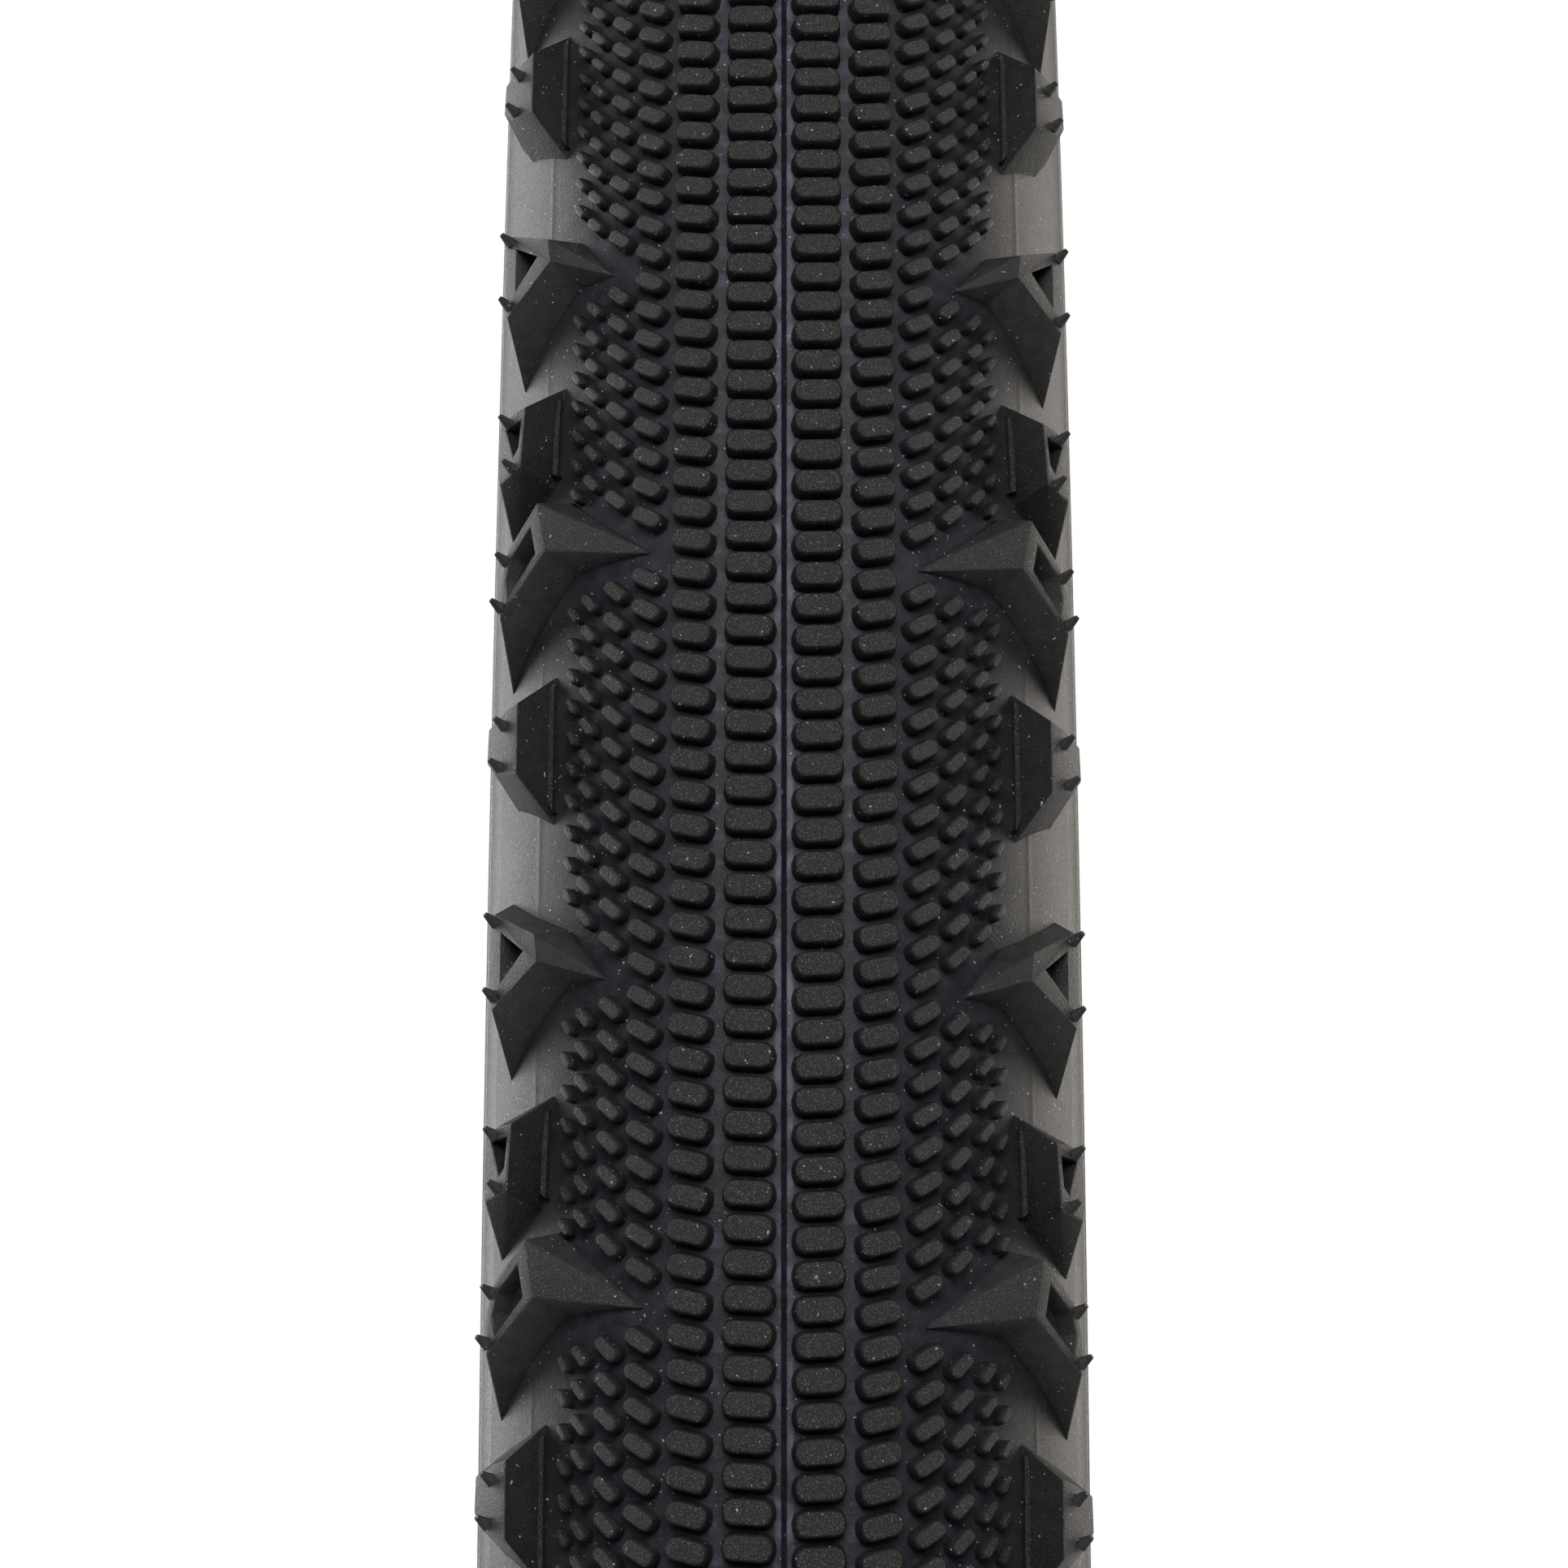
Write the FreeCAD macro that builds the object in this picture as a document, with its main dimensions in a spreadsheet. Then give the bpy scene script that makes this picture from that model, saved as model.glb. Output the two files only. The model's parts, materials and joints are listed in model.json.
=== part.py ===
import FreeCAD, Part
import math
import os
import Sketcher

# Bicycle tyre, 700 x 35C (35-622), wired bead, with a fine file tread down the middle and
# wedge knobs along both shoulders.
# Frame: the origin is the wheel's centre, +Y is the axle, +Z is up and +X is one side of the
# wheel's plane. "Left" is the -Y side and "right" is the +Y side.
# The section is built around one circle whose centre goes round the wheel: a place on the
# tread is given by its arc from the centre line, its distance along the tread and its height.

document = FreeCAD.newDocument("BicycleTyre")
sizes = document.addObject("Spreadsheet::Sheet", "Sizes")

DRIVING = {
    # the whole tyre
    "bead_seat_diameter": 622,
    "section_width": 35,
    "crown_radius": 346.5,
    "rim_inner_width": 22,
    # layers, from the air side outwards
    "liner_thickness": 0.2,
    "ply_thickness": 0.3,
    "breaker_thickness": 0.25,
    "tread_thickness": 1.0,
    "tread_half_angle": 70,
    "casing_half_angle": 138,
    # beads
    "bead_wire_radius": 0.95,
    "bead_wire_rise": 2.2,
    "bead_toe_width": 3.6,
    "bead_heel_chamfer": 0.6,
    "chafer_thickness": 0.5,
    # tread pattern
    "pattern_count": 50,
    "knurls_per_pattern": 23,
    "pattern_start_angle": 2.97,
    "short_wedge_index": 12,
    "outer_rows_side_shift": 0.92,
    "knob_side_shift": 1.1,
    "knurl_height": 0.9,
    "knob_height": 2.4,
    "pit_depth": 1.2,
    # knurl rows: the arc of each row's centre, and its width on the CAD band
    "first_row_arc": 1.88,
    "first_row_width": 2.6,
    "second_row_arc": 5.1,
    "second_row_width": 2.3,
    "third_row_arc": 7.78,
    "third_row_width": 2.0,
    "fourth_row_arc": 9.8,
    "fourth_row_width": 1.8,
    "fifth_row_arc": 11.58,
    "fifth_row_width": 1.4,
    "sixth_row_arc": 12.87,
    "sixth_row_width": 1.0,
    # vent nubs, the short rubber hairs that a mould leaves
    "nub_length": 1.0,
    "nub_root_radius": 0.4,
    "nub_tip_radius": 0.12,
}

for line, (alias, amount) in enumerate(DRIVING.items(), start=1):
    sizes.set(f"A{line}", alias.replace("_", " "))
    sizes.set(f"B{line}", str(amount))
    sizes.setAlias(f"B{line}", alias)
document.recompute()

CENTRE = "Sizes.crown_radius - Sizes.section_width / 2"
OUTER = "Sizes.section_width / 2"
TREAD_INNER = f"{OUTER} - Sizes.tread_thickness"
BREAKER_INNER = f"{TREAD_INNER} - Sizes.breaker_thickness"
OUTER_PLY_INNER = f"{BREAKER_INNER} - Sizes.ply_thickness"
INNER_PLY_INNER = f"{OUTER_PLY_INNER} - Sizes.ply_thickness"
LINER_INNER = f"{INNER_PLY_INNER} - Sizes.liner_thickness"


def number(expression):
    """The value of an expression over the sheet."""
    return float(sizes.evalExpression(expression))


def bind(sketch, constraint, name, expression):
    """Adds a constraint, names it and binds it to the sheet."""
    index = sketch.addConstraint(constraint)
    sketch.renameConstraint(index, name)
    sketch.setExpression(f"Constraints.{name}", expression)


def section_sketch(body):
    """A sketch on the plane that holds the axle: its x is +Y, its y is +Z."""
    sketch = body.newObject("Sketcher::SketchObject", f"{body.Label}_section")
    plane = next(item for item in body.Origin.OriginFeatures if item.Role == "YZ_Plane")
    sketch.AttachmentSupport = [(plane, "")]
    sketch.MapMode = "FlatFace"
    return sketch


def spin_round_axle(body, sketch):
    """Turns a section sketch once round the axle."""
    ring = body.newObject("PartDesign::Revolution", f"{body.Label}_ring")
    ring.Profile = sketch
    ring.ReferenceAxis = (sketch, ["H_Axis"])
    ring.Angle = 360


def new_body(label):
    body = document.addObject("PartDesign::Body", label)
    body.Label = label
    return body


def layer(label, inner, outer, low_angle, high_angle):
    """A layer of the carcass: the stretch between two concentric arcs of the section.

    The angles go from the crown (0) towards the right bead (+) and the left bead (-).
    """
    body = new_body(label)
    sketch = section_sketch(body)
    centre = FreeCAD.Vector(0, number(CENTRE), 0)
    axis = FreeCAD.Vector(0, 0, 1)
    ends = [math.radians(90 - number(high_angle)), math.radians(90 - number(low_angle))]
    radii = [number(inner), number(outer)]
    corner = [[centre + FreeCAD.Vector(radius * math.cos(end), radius * math.sin(end), 0)
               for end in ends] for radius in radii]
    for radius in radii:
        circle = Part.Circle(centre, axis, radius)
        sketch.addGeometry(Part.ArcOfCircle(circle, ends[0], ends[1]), False)
    for side in range(2):
        sketch.addGeometry(Part.LineSegment(corner[0][side], corner[1][side]), False)
    for side, line in ((1, 2), (2, 3)):
        sketch.addConstraint(Sketcher.Constraint("Coincident", 0, side, line, 1))
        sketch.addConstraint(Sketcher.Constraint("Coincident", 1, side, line, 2))
        sketch.addConstraint(Sketcher.Constraint("PointOnObject", 0, 3, line))
    sketch.addConstraint(Sketcher.Constraint("Coincident", 0, 3, 1, 3))
    sketch.addConstraint(Sketcher.Constraint("PointOnObject", 0, 3, -2))
    rise = Sketcher.Constraint("DistanceY", -1, 1, 0, 3, number(CENTRE))
    bind(sketch, rise, "section_centre", CENTRE)
    bind(sketch, Sketcher.Constraint("Radius", 0, radii[0]), "inner_radius", inner)
    bind(sketch, Sketcher.Constraint("Radius", 1, radii[1]), "outer_radius", outer)
    for line, end, name, angle in ((2, ends[0], "high_end", high_angle), (3, ends[1], "low_end", low_angle)):
        tilt = Sketcher.Constraint("Angle", line, end)
        bind(sketch, tilt, name, f"90 - ({angle})")
    spin_round_axle(body, sketch)
    return body


def polygon_section(sketch, corners):
    """A closed polygon whose corners are pairs of expressions, all bound to the sheet."""
    points = [FreeCAD.Vector(number(across), number(out), 0) for across, out in corners]
    first = sketch.GeometryCount
    for index, point in enumerate(points):
        following = points[(index + 1) % len(points)]
        sketch.addGeometry(Part.LineSegment(point, following), False)
    for index, (across, out) in enumerate(corners):
        line = first + index
        after = first + (index + 1) % len(corners)
        sketch.addConstraint(Sketcher.Constraint("Coincident", line, 2, after, 1))
        place_across = Sketcher.Constraint("DistanceX", -1, 1, line, 1, points[index].x)
        place_out = Sketcher.Constraint("DistanceY", -1, 1, line, 1, points[index].y)
        bind(sketch, place_across, f"across_{index}", across)
        bind(sketch, place_out, f"out_{index}", out)


# --- carcass layers -----------------------------------------------------------------------

CASING_END = "Sizes.casing_half_angle"
TREAD_END = "Sizes.tread_half_angle"

layer("inner_liner", LINER_INNER, INNER_PLY_INNER, f"-{CASING_END}", CASING_END)
layer("casing_ply_inner", INNER_PLY_INNER, OUTER_PLY_INNER, f"-{CASING_END}", CASING_END)
layer("casing_ply_outer", OUTER_PLY_INNER, BREAKER_INNER, f"-{CASING_END}", CASING_END)
layer("breaker_belt", BREAKER_INNER, TREAD_INNER, f"-{TREAD_END}", TREAD_END)
layer("tread_base", TREAD_INNER, OUTER, f"-{TREAD_END}", TREAD_END)
layer("sidewall_left", BREAKER_INNER, OUTER, f"-{CASING_END}", f"-{TREAD_END}")
layer("sidewall_right", BREAKER_INNER, OUTER, TREAD_END, CASING_END)

# --- beads --------------------------------------------------------------------------------
# Each bead is a bundle of steel wire in a rubber filler, wrapped in a woven chafer strip. The
# filler and the chafer start where the carcass layers end.

SEAT = "Sizes.bead_seat_diameter / 2"
FACE = "Sizes.rim_inner_width / 2"
WRAP = "Sizes.chafer_thickness"
TOE = f"{FACE} - Sizes.bead_toe_width"
BEAD_RISE = "2 * Sizes.bead_wire_rise"
LAYER_END_RISE = f"cos({CASING_END} * 1 deg)"
LAYER_END_ACROSS = f"sin({CASING_END} * 1 deg)"


def end_corner(radius):
    """Where the circle of one radius meets the line on which the carcass layers end."""
    return (f"({radius}) * {LAYER_END_ACROSS}", f"{CENTRE} + ({radius}) * {LAYER_END_RISE}")


def on_side(corners, side):
    """Corners drawn for the right bead, or mirrored in the same turning order for the left."""
    if side == "right":
        return corners
    return [(f"-({across})", out) for across, out in reversed(corners)]


CHAMFER = "Sizes.bead_heel_chamfer"
filler_corners = [
    end_corner(LINER_INNER + " + " + WRAP),
    end_corner(OUTER + " - " + WRAP),
    (f"{FACE} - {WRAP}", f"{SEAT} + {WRAP} + {CHAMFER}"),
    (f"{FACE} - {WRAP} - {CHAMFER}", f"{SEAT} + {WRAP}"),
    (f"{TOE} + {WRAP}", f"{SEAT} + {WRAP}"),
    (f"{TOE} + {WRAP}", f"{SEAT} + {BEAD_RISE} - {WRAP} / 2"),
]
chafer_corners = [
    end_corner(OUTER + " - " + WRAP),
    end_corner(OUTER),
    (FACE, f"{SEAT} + {WRAP} + {CHAMFER}"),
    (f"{FACE} - {CHAMFER}", SEAT),
    (TOE, SEAT),
    (TOE, f"{SEAT} + {BEAD_RISE}"),
    end_corner(LINER_INNER),
    end_corner(LINER_INNER + " + " + WRAP),
    (f"{TOE} + {WRAP}", f"{SEAT} + {BEAD_RISE} - {WRAP} / 2"),
    (f"{TOE} + {WRAP}", f"{SEAT} + {WRAP}"),
    (f"{FACE} - {WRAP} - {CHAMFER}", f"{SEAT} + {WRAP}"),
    (f"{FACE} - {WRAP}", f"{SEAT} + {WRAP} + {CHAMFER}"),
]
WIRE_ACROSS = f"{FACE} - Sizes.bead_toe_width / 2"
WIRE_OUT = f"{SEAT} + Sizes.bead_wire_rise"

for side, turn in (("left", "-"), ("right", "")):
    wire = document.addObject("Part::Torus", f"bead_wire_{side}")
    wire.Label = f"bead_wire_{side}"
    wire.setExpression("Radius1", WIRE_OUT)
    wire.setExpression("Radius2", "Sizes.bead_wire_radius")
    wire.Placement = FreeCAD.Placement(FreeCAD.Vector(), FreeCAD.Rotation(FreeCAD.Vector(1, 0, 0), 90))
    wire.setExpression("Placement.Base.y", f"{turn}({WIRE_ACROSS})")

    filler = new_body(f"bead_filler_{side}")
    sketch = section_sketch(filler)
    polygon_section(sketch, on_side(filler_corners, side))
    spin_round_axle(filler, sketch)
    bore = section_sketch(filler)
    bore.Label = f"bead_filler_{side}_wire_hole"
    hole_centre = FreeCAD.Vector(number(f"{turn}({WIRE_ACROSS})"), number(WIRE_OUT), 0)
    hole = Part.Circle(hole_centre, FreeCAD.Vector(0, 0, 1), number("Sizes.bead_wire_radius"))
    ring = bore.addGeometry(hole, False)
    across = Sketcher.Constraint("DistanceX", -1, 1, ring, 3, hole_centre.x)
    bind(bore, across, "wire_across", f"{turn}({WIRE_ACROSS})")
    out = Sketcher.Constraint("DistanceY", -1, 1, ring, 3, hole_centre.y)
    bind(bore, out, "wire_out", WIRE_OUT)
    hole_size = Sketcher.Constraint("Radius", ring, number("Sizes.bead_wire_radius"))
    bind(bore, hole_size, "wire_radius", "Sizes.bead_wire_radius")
    groove = filler.newObject("PartDesign::Groove", f"bead_filler_{side}_groove")
    groove.Profile = bore
    groove.ReferenceAxis = (bore, ["H_Axis"])
    groove.Angle = 360

    chafer = new_body(f"chafer_{side}")
    sketch = section_sketch(chafer)
    polygon_section(sketch, on_side(chafer_corners, side))
    spin_round_axle(chafer, sketch)

# --- knurl rows ---------------------------------------------------------------------------
# Rows 1 and 2 run right round as closed bands. Rows 3 to 6 stop at the tails of the wedge
# knobs, so each is 100 stretches. A band is the envelope of the small knurls in its row.

KNURL_TOP = f"{OUTER} + Sizes.knurl_height"


def band_edges(row, side):
    """The angles of a band's two edges, from the crown."""
    turn = -1 if side == "left" else 1
    near = f"Sizes.{row}_row_arc - Sizes.{row}_row_width / 2"
    far = f"Sizes.{row}_row_arc + Sizes.{row}_row_width / 2"
    degrees = f"/ ({OUTER}) * 180 / pi"
    edges = [f"{turn} * ({near}) {degrees}", f"{turn} * ({far}) {degrees}"]
    return edges if side == "right" else edges[::-1]


for row in ("first", "second"):
    for side in ("left", "right"):
        low, high = band_edges(row, side)
        layer(f"knurl_row_{row}_{side}", OUTER, KNURL_TOP, low, high)

section_radius = number(OUTER)
centre_radius = number(CENTRE)
crown_radius = number("Sizes.crown_radius")
pattern_count = int(number("Sizes.pattern_count"))
pattern_angle = 360 / pattern_count
knurl_pitch = 2 * math.pi * crown_radius / pattern_count / number("Sizes.knurls_per_pattern")
AXLE = FreeCAD.Vector(0, 1, 0)
ORIGIN = FreeCAD.Vector(0, 0, 0)


def angle_of(along):
    """The angle round the wheel, in degrees from +X towards +Z, of a distance along the tread.

    Distances run down the tread from the tip of a long wedge, so the angle falls.
    """
    return number("Sizes.pattern_start_angle") - math.degrees(along / crown_radius)


def place(across, along, height):
    """A point of the tread from its arc, its distance along and its height."""
    lean = across / section_radius
    out = centre_radius + (section_radius + height) * math.cos(lean)
    turn = math.radians(angle_of(along))
    return FreeCAD.Vector(out * math.cos(turn), (section_radius + height) * math.sin(lean), out * math.sin(turn))


def turned(shape, degrees):
    """A copy turned about the axle, from +X towards +Z."""
    copy = shape.copy()
    copy.rotate(ORIGIN, AXLE, -degrees)
    return copy


def round_the_wheel(label, shapes):
    """Repeats the shapes of one pattern all round the wheel as a group of solids."""
    group = []
    for repeat in range(pattern_count):
        for shape in shapes:
            group.append(turned(shape, repeat * pattern_angle))
    feature = document.addObject("Part::Feature", label)
    feature.Label = label
    feature.Shape = Part.makeCompound(group)
    return feature


def band_face(low_angle, high_angle):
    """The section of a band, on the plane of the axle and +X."""
    def point(radius, degrees):
        lean = math.radians(degrees)
        return FreeCAD.Vector(centre_radius + radius * math.cos(lean), radius * math.sin(lean), 0)

    top_radius = number(KNURL_TOP)
    middle = (low_angle + high_angle) / 2
    foot = Part.Arc(point(section_radius, low_angle), point(section_radius, middle),
                    point(section_radius, high_angle)).toShape()
    top = Part.Arc(point(top_radius, low_angle), point(top_radius, middle),
                   point(top_radius, high_angle)).toShape()
    ends = [Part.makeLine(point(section_radius, edge), point(top_radius, edge)) for edge in (low_angle, high_angle)]
    return Part.Face(Part.Wire([foot, ends[1], top, ends[0]]))


# for each row: how far its first knurl lies past the long wedge's tip, and how many of its
# knurls the short and the long wedge take away
OUTER_ROWS = {
    "third": (1.73, 0, 1),
    "fourth": (2.10, 1, 2),
    "fifth": (2.37, 2, 3),
    "sixth": (2.75, 3, 3),
}
# from the middle of a knurl to its edge, along the tread
knurl_reach = 0.4 * knurl_pitch
last_before_short = int(number("Sizes.short_wedge_index"))
last_before_long = int(number("Sizes.knurls_per_pattern")) - 1

for row, (first_knurl, lost_at_short, lost_at_long) in OUTER_ROWS.items():
    for side in ("left", "right"):
        low, high = (number(edge) for edge in band_edges(row, side))
        shift = 0 if side == "left" else number("Sizes.outer_rows_side_shift")
        runs = [(0, last_before_short - lost_at_short), (last_before_short + 1, last_before_long - lost_at_long)]
        stretches = []
        for first, last in runs:
            start = first_knurl + first * knurl_pitch - knurl_reach + shift
            end = first_knurl + last * knurl_pitch + knurl_reach + shift
            face = band_face(low, high)
            swept = face.revolve(ORIGIN, AXLE, angle_of(end) - angle_of(start))
            stretches.append(turned(swept, angle_of(start)))
        round_the_wheel(f"knurl_row_{row}_{side}", stretches)

# --- shoulder knobs -----------------------------------------------------------------------
# Each pattern has four knobs a side: a long wedge, a flat one, a short wedge and a flat one
# with a pit. A knob is drawn on the left side by loops of places (arc, distance along) at its
# foot and at its top. A wedge also has a tail that runs down to a tip on the tread.

KNOB_TOP = number("Sizes.knob_height")
KNOB_SHIFT = number("Sizes.knob_side_shift")
PIT_FLOOR = KNOB_TOP - number("Sizes.pit_depth")
OVER_KNOB = 2 * KNOB_TOP

# a nub's tip lies this far outwards, up the tread and above its root, before its length is set
NUB_OUTWARDS = 1.0
NUB_UP_THE_TREAD = 0.8
NUB_RISE = 0.9

KNOBS = {
    "long_wedge_knobs": {
        "foot": [(-13.5, -4.8), (-18.6, -3.2), (-20.4, -0.8), (-20.9, 2.6), (-20.1, 6.1), (-12.9, 0.2)],
        "top": [(-14.0, -4.1), (-16.3, -2.0), (-17.0, -0.4), (-17.25, 1.2), (-17.0, 2.1), (-13.3, -0.8)],
        "pit": [(-14.5, -2.7), (-16.1, -1.3), (-16.5, -0.1), (-16.3, 1.1), (-14.1, -0.9)],
        "tail": (-7.6, 0.0),
        "nubs": [(-16.6, -1.3), (-17.0, 1.5)],
    },
    "flat_knobs": {
        "foot": [(-14.6, 5.7), (-18.4, 6.9), (-20.4, 8.2), (-20.6, 11.4), (-18.8, 13.4), (-14.6, 15.4)],
        "top": [(-15.2, 8.0), (-16.2, 8.2), (-17.9, 8.8), (-18.0, 10.8), (-17.2, 11.7), (-15.2, 12.3)],
        "pit": None,
        "tail": None,
        "nubs": [(-16.4, 9.1), (-16.8, 11.5)],
    },
    "short_wedge_knobs": {
        "foot": [(-13.1, 21.6), (-19.4, 18.6), (-20.6, 20.2), (-20.8, 26.2), (-19.3, 29.3), (-13.0, 25.0)],
        "top": [(-13.6, 22.2), (-16.9, 20.3), (-17.2, 21.4), (-17.3, 24.6), (-17.0, 25.9), (-13.4, 23.8)],
        "pit": [(-14.4, 23.0), (-16.3, 21.5), (-16.3, 24.5)],
        "tail": (-10.4, 24.9),
        "nubs": [(-16.9, 20.8), (-16.9, 25.2)],
    },
    "pitted_knobs": {
        "foot": [(-14.2, 30.8), (-18.0, 31.8), (-20.6, 33.0), (-20.8, 37.6), (-20.3, 40.3), (-15.2, 37.6)],
        "top": [(-15.1, 32.8), (-16.2, 32.8), (-17.4, 33.2), (-17.5, 35.8), (-17.4, 36.9), (-15.4, 36.6)],
        "pit": [(-15.5, 33.5), (-16.8, 33.6), (-16.1, 35.6), (-15.7, 35.2)],
        "tail": None,
        "nubs": [(-16.6, 33.3), (-16.2, 36.4)],
    },
}


def faceted_solid(triangles):
    """A closed solid from triangles of points."""
    faces = [Part.Face(Part.makePolygon([first, second, third, first])) for first, second, third in triangles]
    return Part.makeSolid(Part.makeShell(faces))


def fan(hub, loop):
    """Triangles from a middle point to each side of a loop."""
    return [(hub, start, end) for start, end in zip(loop, loop[1:] + loop[:1])]


def wall(lower, upper):
    """Triangles between two loops, or two open chains, of the same length."""
    triangles = []
    for index in range(len(lower) - 1):
        triangles.append((lower[index], lower[index + 1], upper[index]))
        triangles.append((lower[index + 1], upper[index + 1], upper[index]))
    return triangles


def knob_place(spot, height, side):
    """A place on the left half, or its mirror image on the right half, a little further down."""
    across, along = spot
    if side == "left":
        return place(across, along, height)
    return place(-across, along + KNOB_SHIFT, height)


def level(spots, height, side):
    """A loop of places at one height."""
    return [knob_place(spot, height, side) for spot in spots]


def middle(spots):
    """The mean of a loop of places."""
    return tuple(sum(values) / len(spots) for values in zip(*spots))


def prism(spots, low, high, side):
    """A block between two heights over the same loop."""
    lower = level(spots, low, side)
    upper = level(spots, high, side)
    around = wall(lower + lower[:1], upper + upper[:1])
    caps = fan(knob_place(middle(spots), low, side), lower) + fan(knob_place(middle(spots), high, side), upper)
    return faceted_solid(around + caps)


def knob_solid(knob, side):
    """One knob, standing on the tread. A tail closes it between its last and first corners."""
    foot = level(knob["foot"], 0, side)
    top = level(knob["top"], KNOB_TOP, side)
    under = knob_place(middle(knob["foot"]), 0, side)
    over = knob_place(middle(knob["top"]), KNOB_TOP, side)
    if knob["tail"]:
        tip = knob_place(knob["tail"], 0, side)
        skin = wall(foot, top) + fan(under, foot + [tip]) + fan(over, top)
        skin += [(foot[-1], tip, top[-1]), (tip, foot[0], top[0]), (tip, top[0], top[-1])]
    else:
        skin = wall(foot + foot[:1], top + top[:1]) + fan(under, foot) + fan(over, top)
    body = faceted_solid(skin)
    if knob["pit"]:
        body = body.cut(prism(knob["pit"], PIT_FLOOR, OVER_KNOB, side))
    return body


def nub_solid(spot, side):
    """A short hair that stands on a knob's top and leans outwards and up the tread."""
    across, along = spot
    root = knob_place(spot, KNOB_TOP, side)
    tip = knob_place((across - NUB_OUTWARDS, along - NUB_UP_THE_TREAD), KNOB_TOP + NUB_RISE, side)
    aim = tip - root
    return Part.makeCone(number("Sizes.nub_root_radius"), number("Sizes.nub_tip_radius"),
                         number("Sizes.nub_length"), root, aim)


for side in ("left", "right"):
    nubs = []
    for family, knob in KNOBS.items():
        solid = knob_solid(knob, side)
        round_the_wheel(f"{family}_{side}", [solid])
        nubs += [nub_solid(spot, side).cut(solid) for spot in knob["nubs"]]
    round_the_wheel(f"vent_nubs_{side}", nubs)

# --- checks and export --------------------------------------------------------------------

document.recompute()

for item in document.Objects:
    for state in ("Invalid", "Error"):
        if state in item.State:
            raise RuntimeError(f"{item.Label} is {state}")

sub_parts = [item for item in document.Objects
             if item.isDerivedFrom("Part::Feature") and (item.getParentGeoFeatureGroup() is None)]
os.makedirs("parts", exist_ok=True)
for item in sub_parts:
    shape = item.Shape
    if shape.isNull() or not shape.isValid():
        raise RuntimeError(f"{item.Label} has no valid shape")
    if any(solid.Volume <= 0 for solid in shape.Solids) or not shape.Solids:
        raise RuntimeError(f"{item.Label} has a solid turned inside out")

for item in sub_parts:
    item.Shape.exportStep(f"parts/{item.Label}.step")
    box = item.Shape.BoundBox
    print(f"{item.Label}: {len(item.Shape.Solids)} solids, {item.Shape.Volume / 1000:.2f} cm3, "
          f"x {box.XMin:.1f} {box.XMax:.1f}  y {box.YMin:.2f} {box.YMax:.2f}  z {box.ZMin:.1f} {box.ZMax:.1f}")
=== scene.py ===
import json
import math
import bmesh
import bpy
import numpy as np
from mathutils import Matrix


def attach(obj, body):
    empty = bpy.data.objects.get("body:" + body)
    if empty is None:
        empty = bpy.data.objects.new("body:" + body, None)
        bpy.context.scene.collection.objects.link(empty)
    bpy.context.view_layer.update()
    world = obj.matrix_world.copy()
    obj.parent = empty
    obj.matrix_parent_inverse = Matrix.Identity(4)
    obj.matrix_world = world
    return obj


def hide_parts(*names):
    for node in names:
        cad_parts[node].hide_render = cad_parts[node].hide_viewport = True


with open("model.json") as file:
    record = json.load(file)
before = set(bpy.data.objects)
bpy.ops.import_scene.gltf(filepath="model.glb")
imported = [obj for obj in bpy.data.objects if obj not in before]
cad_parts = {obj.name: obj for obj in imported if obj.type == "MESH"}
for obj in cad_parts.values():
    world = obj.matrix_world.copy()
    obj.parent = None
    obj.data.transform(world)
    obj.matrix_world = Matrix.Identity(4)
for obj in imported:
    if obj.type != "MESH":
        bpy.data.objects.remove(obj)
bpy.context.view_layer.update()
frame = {"nodes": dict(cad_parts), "record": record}
print("tire: the packed frame is in")

# The tread is modelled flat, in metres: x is the arc from the centre line, y runs up the tread,
# z is the height over the tread. wrapOnTire then rolls a flat piece round the wheel.

mm = 0.001
beadRadius = frame["record"]["mounts"][0]["dims"]["r_mm"] * mm
tire = {
    "crownRadius": beadRadius + 35.5 * mm,    # wheel centre to the tread between the knurls
    "sectionRadius": 17.5 * mm,
    "patterns": 50,                           # times the tread pattern comes round
    "knurls": 23,                             # knurls in a row of one pattern
    "startAngle": math.radians(2.97),         # tip of the first long wedge, over +X
    "treadLean": 70,                          # degrees from the crown, where the tread ends
    "beadLean": 138,                          # and where the sidewall ends
    "knurlHeight": 0.9 * mm,                  # the tallest knurls
}
weldGap = 0.002 * mm      # points nearer than this are merged

# A row's arc from the centre line, the size of one knurl, its start below the long wedge's tip and
# the drop of the right half are in mm, and its tilt is in degrees. Knurls are lost at the short
# wedge and at the long one. The corner is a part of the width, rounded with that many facets.
knurlRows = {
    "first": {"arc": 1.88, "length": 2.6, "width": 1.36, "height": 0.9, "tilt": 4,
              "start": 1.51, "drop": 0.62, "lost": (0, 0), "corner": 0.38, "facets": 2},
    "second": {"arc": 5.1, "length": 2.25, "width": 1.24, "height": 0.9, "tilt": 15,
               "start": 1.64, "drop": 0.62, "lost": (0, 0), "corner": 0.38, "facets": 2},
    "third": {"arc": 7.78, "length": 1.9, "width": 0.95, "height": 0.85, "tilt": 33,
              "start": 1.73, "drop": 0.92, "lost": (0, 1), "corner": 0.4, "facets": 2},
    "fourth": {"arc": 9.8, "length": 1.7, "width": 0.8, "height": 0.8, "tilt": 44,
               "start": 2.1, "drop": 0.92, "lost": (1, 2), "corner": 0.42, "facets": 2},
    "fifth": {"arc": 11.6, "length": 1.44, "width": 0.62, "height": 0.75, "tilt": 51,
              "start": 2.37, "drop": 0.92, "lost": (2, 3), "corner": 0.38, "facets": 1},
    "sixth": {"arc": 12.87, "length": 1.16, "width": 0.48, "height": 0.65, "tilt": 58,
              "start": 2.75, "drop": 0.92, "lost": (3, 3), "corner": 0.38, "facets": 1},
}
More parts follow.
